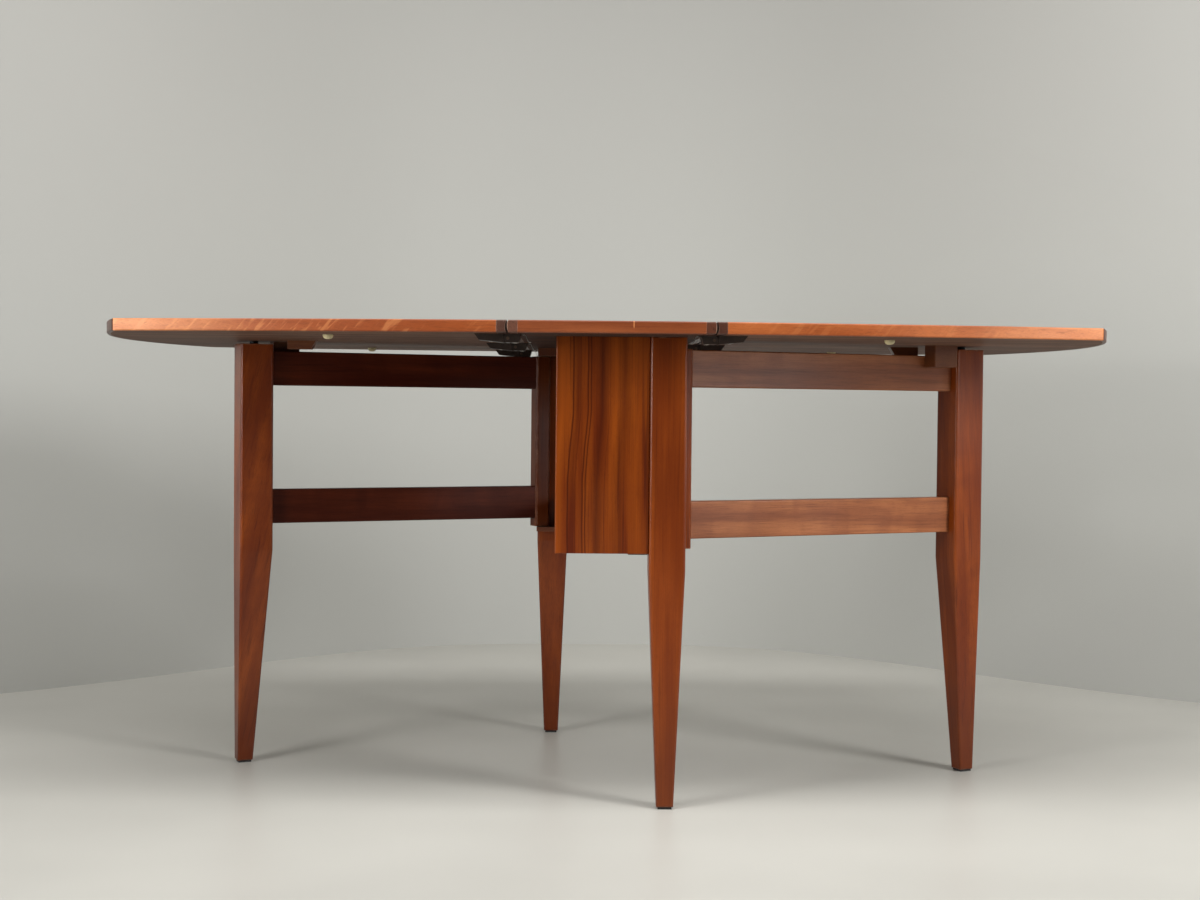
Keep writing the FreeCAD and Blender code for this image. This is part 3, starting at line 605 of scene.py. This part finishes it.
def steel_material(name, tone):
    """Plain turned steel with a little tarnish."""
    material, tree, shader = new_tree(name)
    tarnish = noise(tree, object_place(tree), 140.0, 4.0, 0.6)
    dulled = blend_colour(tree, ramp(tree, tarnish, 0.4, 0.7), tone, shaded(tone, 0.45))
    join(tree, dulled, shader.inputs["Base Color"])
    join(tree, math_node(tree, "MULTIPLY_ADD", tarnish, 0.3, 0.22), shader.inputs["Roughness"])
    shader.inputs["Metallic"].default_value = 1.0
    return material


# Operators

# Underside of each board: its painted shade, darker and browner on the centre board, and how much duller it
# is than the top
UNDERSIDES = {
    "centre_board": ((0.42, 0.33, 0.27), 0.65),
    "right_leaf_board": ((1.0, 1.0, 1.0), 0.40),
    "left_leaf_board": ((1.0, 1.0, 1.0), 0.40),
}
# Each lipping is cut from a different piece and is a little lighter or darker
LIPPING_SHADES = {
    "right_centre_lipping": (0.78, 0.68, 0.60),
    "right_leaf_lipping": (0.62, 0.60, 0.60),
    "left_centre_lipping": (1.05, 1.12, 1.15),
    "left_leaf_lipping": (1.05, 1.20, 1.35),
}


class DressTop(bpy.types.Operator):
    """Finish the centre board, the leaves, their edgings and the joint lippings"""
    bl_idname = "table.dress_top"
    bl_label = "Dress the top"

    def execute(self, context):
        tones = settings("table_woods")
        for index, (node, (shade, dullness)) in enumerate(UNDERSIDES.items()):
            shift = (0.37 * index, 0.61 * index, 0.0)
            dress(node, board_material(f"Board finish {node}", shift, shade, dullness))
        right, tree, shader = leaf_edge_material("Right leaf edging", (1.3, 0.2, 0.1), 0.35, 0.10)
        add_nick(tree, shader, tones.edge_dark)
        dress("right_leaf_edging", right)
        dress("left_leaf_edging", leaf_edge_material("Left leaf edging", (4.1, 0.7, 0.3), 0.6, 0.25)[0])
        for index, node in enumerate(("centre_front_edging", "centre_back_edging")):
            centre, tree, shader = edge_material(f"Centre edging {index + 1}", tones.centre_edge_light,
                                                 tones.centre_edge_dark, (2.2 + index, 0.4, 0.2), 0.3)
            add_seam(tree, shader)
            dress(node, centre)
        for index, (node, shade) in enumerate(LIPPING_SHADES.items()):
            light, dark = shaded(tones.lipping_light, shade), shaded(tones.lipping_dark, shade)
            dress(node, end_grain_material(f"Lipping {index + 1}", light, dark, (0.3 * index, 0.2, 0.5),
                                           worn="centre" in node))
        return {"FINISHED"}


class DressFrame(bpy.types.Operator):
    """Finish the panels, the fixed legs, the frame rails and the pivot bearers"""
    bl_idname = "table.dress_frame"
    bl_label = "Dress the frame"

    def execute(self, context):
        tones = settings("table_woods")
        for index, side in enumerate(("front", "back")):
            dress(f"{side}_panel", panel_material(f"{side} panel veneer", 1.0 - 2.0 * index,
                                                  (0.2 + index, 0.9, 0.35)))
            dress(f"{side}_fixed_leg", leg_material(f"{side} fixed leg", (1.4 + index, 0.3, 0.8)))
        hidden = wood("Frame rail wood", tones.frame_light, tones.frame_dark, ALONG_Y, streaks=0.4)[0]
        bearer = wood("Bearer wood", tones.frame_light, tones.frame_dark, ALONG_X, streaks=0.4)[0]
        for side in SIDES:
            for level in ("upper", "lower"):
                dress(f"{side}_{level}_frame_rail", hidden)
                dress(f"{side}_{level}_pivot_bearer", bearer)
        return {"FINISHED"}


# The gates differ in the lean of the leg's grain, the rails' lacquer, and the painted light and shade on
# rails and post
LEG_LEAN = {"right": -0.06, "left": 0.24}
# Painted light on the right gate's rails, painted shade on the left gate's rails
RAIL_TONES = {"right": ("painted_lit_rail_light", "painted_lit_rail_dark"), "left": ("painted_shade_rail_light", "painted_shade_rail_dark")}
RAIL_COAT = {"right": 0.06, "left": 0.0}
# The left gate's post is darkened as painted shade
POST_PAINTED_SHADE = {"right": 1.0, "left": 0.45}


class DressGates(bpy.types.Operator):
    """Finish the posts, rails and legs of both gates"""
    bl_idname = "table.dress_gates"
    bl_label = "Dress the gates"

    def execute(self, context):
        tones = settings("table_woods")
        for index, side in enumerate(SIDES):
            low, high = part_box(f"{side}_gate_lower_rail")
            slope = math.atan2(high[1] - low[1], high[0] - low[0])
            light, dark = (getattr(tones, tone) for tone in RAIL_TONES[side])
            for number, level in enumerate(("upper", "lower")):
                shift = (index + 0.6 * number, 0.3 * index, 0.2)
                dress(f"{side}_gate_{level}_rail", wood(
                    f"{side} {level} gate rail", light, dark, (0.0, 0.0, -slope), shift,
                    streaks=0.35, figure=0.45, gloss=0.02, coat=RAIL_COAT[side])[0])
            dress(f"{side}_gate_post", leg_material(f"{side} gate post", (0.5 + index, 0.6, 0.2), coat=0.0,
                                                    shade=POST_PAINTED_SHADE[side]))
            dress(f"{side}_gate_leg", leg_material(f"{side} gate leg", (2.7 + index, 0.1, 1.2),
                                                   lean=LEG_LEAN[side], figure=0.45))
        return {"FINISHED"}


class DressFittings(bpy.types.Operator):
    """Finish the hinges, pins, glides, pegs and gate stops"""
    bl_idname = "table.dress_fittings"
    bl_label = "Dress the fittings"

    def execute(self, context):
        fittings = settings("table_fittings")
        tones = settings("table_woods")
        hinge = moulded_material("Hinge body", fittings.hinge_tone, 0.32)
        pin = steel_material("Aged pin", fittings.pin_tone)
        glide = moulded_material("Glide", fittings.glide_tone, 0.45)
        stop = wood("Stop wood", tones.stop_light, tones.stop_dark, ALONG_X, (0.4, 0.8, 0.1), streaks=0.3,
                    figure=0.1, gloss=-0.06, coat=0.1)[0]
        for side in SIDES:
            for node in ("hinge_plates", "hinge_arms"):
                dress(f"{side}_{node}", hinge)
            for node in ("hinge_pins", "gate_lower_pivot", "gate_upper_pivot"):
                dress(f"{side}_{node}", pin)
            for node in ("gate_leg_glide", "gate_leg_peg"):
                dress(f"{side}_{node}", glide)
            for node in ("gate_stop", "gate_stop_batten"):
                dress(f"{side}_{node}", stop)
        for end in ("front", "back"):
            dress(f"{end}_fixed_leg_glide", glide)
        return {"FINISHED"}


def grid_mesh(name, points, material, closed=False):
    """A mesh from an array of points, rows by columns by three, joined into quads.

    A closed one has its seam and poles merged and its normals worked out anew.
    """
    rows, columns = points.shape[:2]
    first = np.arange(rows - 1)[:, None] * columns + np.arange(columns - 1)[None, :]
    faces = np.stack([first, first + 1, first + columns + 1, first + columns], axis=-1).reshape(-1, 4)
    mesh = bpy.data.meshes.new(name)
    mesh.from_pydata(points.reshape(-1, 3).tolist(), [], faces.tolist())
    if closed:
        shell = bmesh.new()
        shell.from_mesh(mesh)
        bmesh.ops.remove_doubles(shell, verts=shell.verts, dist=1e-6)
        bmesh.ops.recalc_face_normals(shell, faces=shell.faces)
        shell.to_mesh(mesh)
        shell.free()
    mesh.shade_smooth()
    mesh.materials.append(material)
    item = bpy.data.objects.new(name, mesh)
    bpy.context.scene.collection.objects.link(item)
    return item


# How far a buffer's chamfer and its rim reach down from the face it hangs from
BUFFER_CHAMFER = 0.0003
BUFFER_RIM = 0.001


def dome_points(centre, top, radius, depth):
    """A domed buffer hanging from a flat face: a disc, a short straight rim, then a dome.

    One parameter runs round. The other goes from the middle of the disc out to the rim and
    then down the dome, whose radius falls with the cosine of an angle to the power 0.7 and
    whose depth grows with its sine.
    """
    angle = np.linspace(0.0, np.pi / 2, 16)
    reach = np.concatenate([[0.0, 0.97 * radius, radius], radius * np.cos(angle) ** 0.7])
    dome = BUFFER_RIM + (depth - BUFFER_RIM) * np.sin(angle)
    drop = np.concatenate([[0.0, 0.0, BUFFER_CHAMFER], dome])
    reach[-1] = 0.0
    around = np.linspace(0.0, 2 * np.pi, 41)
    across = centre[0] + reach[:, None] * np.cos(around)
    along = centre[1] + reach[:, None] * np.sin(around)
    height = np.repeat((top - drop)[:, None], around.size, axis=1)
    return np.stack([across, along, height], axis=-1)


# A screw slot's half width, the width of its sides, its depth as a share of the head's rise, and how far
# the head's rim runs up into the hinge
SLOT_HALF_WIDTH = 0.00062
SLOT_SIDE = 0.00018
SLOT_DEPTH = 0.75
SCREW_SINK = 0.0004


def screw_points(place, slope, twist, radius, rise):
    """A slotted screw head seen from below, with its rim run up into its sloping face.

    In polar parameters the head drops away from its face as one minus 0.85 times the square
    of the radius, less a slot where the distance from one diameter is small. The slope leans
    the head along X. The back is open, out of sight inside the hinge.
    """
    out = np.concatenate([np.linspace(0.0, 1.0, 22), [1.0]])
    around = np.linspace(0.0, 2 * np.pi, 49)
    span, angle = np.meshgrid(out, around, indexing="ij")
    across = radius * span * np.cos(angle)
    along = radius * span * np.sin(angle)
    crown = rise * (1.0 - 0.85 * span ** 2)
    from_slot = np.abs(across * np.sin(twist) - along * np.cos(twist))
    drop = crown - SLOT_DEPTH * rise * np.clip((SLOT_HALF_WIDTH - from_slot) / SLOT_SIDE, 0.0, 1.0)
    drop[-1, :] = -SCREW_SINK
    return np.stack([place[0] + across, place[1] + along, place[2] + slope * across - drop], axis=-1)


def carried_strip(path, width, thickness, centre_y):
    """A flat strip carried along a path in the plane of X and Z: its four sides as a closed grid.

    Each path point is pushed out by half the thickness along the path's normal, once to each
    side, at each side of the strip's width. The first and the last ring fold onto their middles.
    """
    path = np.asarray(path, dtype=float)
    course = np.gradient(path, axis=0)
    course /= np.linalg.norm(course, axis=1)[:, None]
    normal = np.stack([-course[:, 1], course[:, 0]], axis=1)
    corners = ((0.5, 1.0), (-0.5, 1.0), (-0.5, -1.0), (0.5, -1.0), (0.5, 1.0))
    rings = []
    for side, face in corners:
        offset = path + normal * face * thickness / 2
        y = np.full(len(path), centre_y + side * width)
        rings.append(np.stack([offset[:, 0], y, offset[:, 1]], axis=-1))
    tube = np.stack(rings, axis=1)
    first = np.repeat(tube[:1, :4].mean(axis=1, keepdims=True), 5, axis=1)
    last = np.repeat(tube[-1:, :4].mean(axis=1, keepdims=True), 5, axis=1)
    return np.concatenate([first, tube, last], axis=0)


class MakeBuffers(bpy.types.Operator):
    """Make the four domed buffers that stand in for the plain ones"""
    bl_idname = "table.make_buffers"
    bl_label = "Make the buffers"

    def execute(self, context):
        material = moulded_material("Buffer rubber", settings("table_fittings").buffer_tone, 0.5)
        for side in SIDES:
            for end in ("front", "back"):
                node = f"{side}_leaf_{end}_buffer"
                low, high = (np.array(corner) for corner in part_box(node))
                middle = (low + high) / 2
                points = dome_points(middle, high[2], (high[0] - low[0]) / 2, high[2] - low[2])
                buffer = grid_mesh(f"{side}_{end}_domed_buffer", points, material, closed=True)
                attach(buffer, f"{side}_leaf")
                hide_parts(node)
        return {"FINISHED"}


# Places of the three hinges along a joint: the outer ones lie half a hinge inside the plates' ends
HALF_HINGE = 0.018
OUTER_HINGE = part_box("right_hinge_plates")[1][1] - HALF_HINGE
HINGE_REACH = (-OUTER_HINGE, 0.0, OUTER_HINGE)
# Rows of screws in the arms and in the plates, and half the spacing of the screws in a row
ARM_SCREW_PLACE = JOINT_LINE + 0.0250
PLATE_SCREW_PLACE = JOINT_LINE - 0.0105
SCREW_OFFSET = 0.010
# Underside of a hinge arm: where its slope starts, and its rise over its run
ARM_SLOPE_START = JOINT_LINE + 0.0064
ARM_SLOPE = 0.0035 / 0.0356
# Side view of a spring clip, from the board down past the plate: inwards of the axis, and below the board
CLIP_PATH = ((0.0210, 0.0006), (0.0245, 0.0007), (0.0258, 0.0016), (0.0298, 0.0104), (0.0310, 0.0116),
             (0.0338, 0.0118))


class MakeHingeFittings(bpy.types.Operator):
    """Make the slotted screw heads in the hinges and the spring clip beside each hinge"""
    bl_idname = "table.make_hinge_fittings"
    bl_label = "Make the hinge fittings"

    def execute(self, context):
        fittings = settings("table_fittings")
        steel = steel_material("Bright steel", fittings.steel_tone)
        radius, rise = fittings.screw_radius, fittings.screw_rise
        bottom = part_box("right_hinge_plates")[0][2]
        arm_height = bottom + (ARM_SCREW_PLACE - ARM_SLOPE_START) * ARM_SLOPE
        for side, sign in (("right", 1.0), ("left", -1.0)):
            for number, reach in enumerate(HINGE_REACH):
                for letter, offset in (("a", -SCREW_OFFSET), ("b", SCREW_OFFSET)):
                    # No two screws of a hinge are driven home at the same turn.
                    twist = 1.1 * number + 70.0 * offset
                    place = (sign * ARM_SCREW_PLACE, sign * reach + offset, arm_height)
                    points = screw_points(place, sign * ARM_SLOPE, twist, radius, rise)
                    head = grid_mesh(f"{side}_arm_screw_{number + 1}_{letter}", points, steel, closed=True)
                    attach(head, f"{side}_leaf")
                    place = (sign * PLATE_SCREW_PLACE, sign * reach + offset, bottom)
                    points = screw_points(place, 0.0, twist + 0.8, radius, rise)
                    head = grid_mesh(f"{side}_plate_screw_{number + 1}_{letter}", points, steel, closed=True)
                    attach(head, "frame")
                path = [(sign * (JOINT_LINE - inwards), UNDERSIDE - below) for inwards, below in CLIP_PATH]
                points = carried_strip(path, fittings.clip_width, fittings.clip_thickness, sign * reach)
                clip = grid_mesh(f"{side}_spring_clip_{number + 1}", points, steel, closed=True)
                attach(clip, "frame")
        return {"FINISHED"}


def area_light(name, place, target, size, power, spread):
    """A flat soft white light that looks at a target; a spread under 180 degrees narrows its beam."""
    data = bpy.data.lights.new(name, "AREA")
    data.shape = "RECTANGLE"
    data.size, data.size_y = size
    data.energy = power
    data.spread = math.radians(spread)
    item = bpy.data.objects.new(name, data)
    item.visible_camera = False
    item.location = place
    item.rotation_euler = (Vector(target) - Vector(place)).to_track_quat("-Z", "Y").to_euler()
    bpy.context.scene.collection.objects.link(item)


def clear_from_behind(tree, shader):
    """Make a surface of the studio clear when it is looked at from behind."""
    output = next(node for node in tree.nodes if node.type == "OUTPUT_MATERIAL")
    side = add(tree, "NewGeometry")
    clear = add(tree, "BsdfTransparent")
    choice = add(tree, "MixShader")
    join(tree, side.outputs["Backfacing"], choice.inputs[0])
    join(tree, shader.outputs[0], choice.inputs[1])
    join(tree, clear.outputs[0], choice.inputs[2])
    join(tree, choice.outputs[0], output.inputs["Surface"])


def floor_material(tone):
    """Pale polished floor with soft large patches and an uneven low gloss, clear from behind."""
    material, tree, shader = new_tree("Studio floor")
    vector = object_place(tree)
    patches = ramp(tree, noise(tree, vector, 1.1, 3.0, 0.55), 0.35, 0.65)
    join(tree, blend_colour(tree, patches, shaded(tone, 0.90), tone), shader.inputs["Base Color"])
    worn = noise(tree, stretched(tree, vector, (3.0, 5.0, 3.0)), 1.0, 3.0, 0.5)
    join(tree, math_node(tree, "MULTIPLY_ADD", worn, 0.10, 0.33), shader.inputs["Roughness"])
    shader.inputs["Specular IOR Level"].default_value = 0.30
    clear_from_behind(tree, shader)
    return material


def backdrop_material(tone):
    """Plain matt backdrop with a very soft mottle, clear from behind."""
    material, tree, shader = new_tree("Studio backdrop")
    patches = ramp(tree, noise(tree, object_place(tree), 0.5, 2.0, 0.5), 0.3, 0.7)
    join(tree, blend_colour(tree, patches, shaded(tone, 0.93), tone), shader.inputs["Base Color"])
    shader.inputs["Roughness"].default_value = 0.8
    clear_from_behind(tree, shader)
    return material


FLOOR_REACH = 7.0
# The backdrop: half its width, its height, the place of its sides in Y, and the depth, half width and
# sharpness of the hollow in its middle
WALL_REACH = 6.0
WALL_HEIGHT = 4.2
WALL_SIDE_DEPTH = 0.2
WALL_HOLLOW = 1.285
HOLLOW_HALF_WIDTH = 1.05
HOLLOW_POWER = 3.2


def floor_points():
    """The floor: a flat square, whose two parameters run straight across it."""
    steps = np.linspace(-FLOOR_REACH, FLOOR_REACH, 2)
    across, deep = np.meshgrid(steps, steps)
    return np.stack([across, deep, np.zeros_like(across)], axis=-1)


def backdrop_points():
    """The backdrop: a bell curve in plan, raised straight up.

    One parameter runs across, and the depth falls off as one over one plus a power of it,
    so the wall bows away behind the table and runs level at both sides. The other
    parameter goes up.
    """
    across, up = np.meshgrid(np.linspace(-WALL_REACH, WALL_REACH, 240), np.linspace(0.0, WALL_HEIGHT, 2))
    deep = WALL_SIDE_DEPTH + WALL_HOLLOW / (1.0 + (np.abs(across) / HOLLOW_HALF_WIDTH) ** HOLLOW_POWER)
    return np.stack([across, deep, up], axis=-1)


# Each light by its name, place, target, size, power in watts and spread in degrees
LIGHTS = (
    ("Overhead light", (0.0, -1.0, 2.6), (0.0, -1.0, 0.0), (3.0, 0.7), 72.4, 180),
    ("Left softbox", (-1.95, -1.75, 1.55), (-0.3, -0.2, 0.75), (0.7, 1.0), 10.1, 120),
    ("Right softbox", (2.2, -1.7, 1.6), (0.3, -0.2, 0.75), (0.7, 1.0), 23.7, 120),
    ("Right side light", (2.6, -0.5, 0.9), (0.0, -0.1, 0.6), (0.8, 1.4), 6.5, 180),
    ("Wall light", (0.0, -0.2, 3.4), (0.0, 1.4, 1.9), (3.0, 0.6), 14.3, 180),
    ("Left window", (-2.2, -1.35, 0.78), (-0.1, -0.30, 0.62), (1.30, 0.45), 2.7, 60),
    ("Back light", (0.0, 1.1, 2.3), (0.0, 0.3, 0.5), (1.6, 0.5), 0.6, 120),
    ("Left strip light", (-1.75, -1.55, 0.8), (-0.73, -0.36, 0.72), (0.4, 0.5), 0.9, 60),
    ("Right strip light", (1.85, -1.6, 0.8), (0.73, -0.36, 0.72), (0.4, 0.5), 0.7, 60),
)


class BuildStudio(bpy.types.Operator):
    """Make the pale floor, the curved backdrop, the soft lights and the camera"""
    bl_idname = "table.build_studio"
    bl_label = "Build the studio"

    def execute(self, context):
        studio = settings("table_studio")
        scene = context.scene
        floor = grid_mesh("studio_floor", floor_points(), floor_material(studio.floor_tone))
        wall = grid_mesh("studio_backdrop", backdrop_points(), backdrop_material(studio.wall_tone))
        for light in LIGHTS:
            area_light(*light)
        scene.world = self.make_world(studio)
        scene.view_settings.view_transform = "Standard"
        self.place_camera(scene, studio)
        return {"FINISHED"}

    def make_world(self, studio):
        """Dim air for the light itself, and plain surroundings for what the eye and the gloss see."""
        world = bpy.data.worlds.new("Studio air")
        world.use_nodes = True
        tree = world.node_tree
        background = next(node for node in tree.nodes if node.type == "BACKGROUND")
        background.inputs["Color"].default_value = (1.0, 0.99, 0.96, 1)
        path = add(tree, "LightPath")
        seen = math_node(tree, "ADD", path.outputs["Is Camera Ray"], path.outputs["Is Glossy Ray"])
        seen = math_node(tree, "ADD", seen, path.outputs["Is Transmission Ray"], clamp=True)
        gain = studio.sky_strength - studio.air_strength
        strength = math_node(tree, "MULTIPLY_ADD", seen, gain, studio.air_strength)
        join(tree, strength, background.inputs["Strength"])
        return world

    def place_camera(self, scene, studio):
        """Aim the camera from its yaw, pitch and roll."""
        yaw, pitch, roll = studio.camera_yaw, -studio.camera_pitch, studio.camera_roll
        forward = Vector((math.sin(yaw) * math.cos(pitch), math.cos(yaw) * math.cos(pitch), math.sin(pitch)))
        right = Vector((math.cos(yaw), -math.sin(yaw), 0.0))
        up = right.cross(forward)
        leaned = right * math.cos(roll) + up * math.sin(roll)
        risen = up * math.cos(roll) - right * math.sin(roll)
        data = bpy.data.cameras.new("Studio camera")
        data.sensor_width = 36.0
        data.lens = studio.focal_length
        data.clip_start, data.clip_end = 0.01, 100.0
        camera = bpy.data.objects.new("Studio camera", data)
        place = Vector((studio.camera_offset, -studio.camera_distance, studio.camera_height))
        axes = Matrix((leaned, risen, -forward)).transposed()
        camera.matrix_world = Matrix.Translation(place) @ axes.to_4x4()
        scene.collection.objects.link(camera)
        scene.camera = camera


OPERATORS = (DressTop, DressFrame, DressGates, DressFittings, MakeBuffers, MakeHingeFittings, BuildStudio)


class TablePanel(bpy.types.Panel):
    """Lists the steps that dress the table"""
    bl_idname = "VIEW3D_PT_table_finish"
    bl_label = "Table finish"
    bl_space_type = "VIEW_3D"
    bl_region_type = "UI"
    bl_category = "Table"

    def draw(self, context):
        for operator in OPERATORS:
            self.layout.operator(operator.bl_idname)
        for name, group in SETTINGS.items():
            values = getattr(context.scene, name)
            for setting in group.__annotations__:
                self.layout.prop(values, setting)


def register():
    """Make the settings, the steps and the panel known."""
    for name, group in SETTINGS.items():
        bpy.utils.register_class(group)
        setattr(bpy.types.Scene, name, PointerProperty(type=group))
    for item in (*OPERATORS, TablePanel):
        bpy.utils.register_class(item)


def unregister():
    """Forget the panel, the steps and the settings."""
    for item in reversed((*OPERATORS, TablePanel)):
        bpy.utils.unregister_class(item)
    for name, group in SETTINGS.items():
        delattr(bpy.types.Scene, name)
        bpy.utils.unregister_class(group)


def main():
    """Run every step in order."""
    register()
    for operator in OPERATORS:
        space, name = operator.bl_idname.split(".")
        getattr(getattr(bpy.ops, space), name)()


if __name__ == "__main__":
    main()
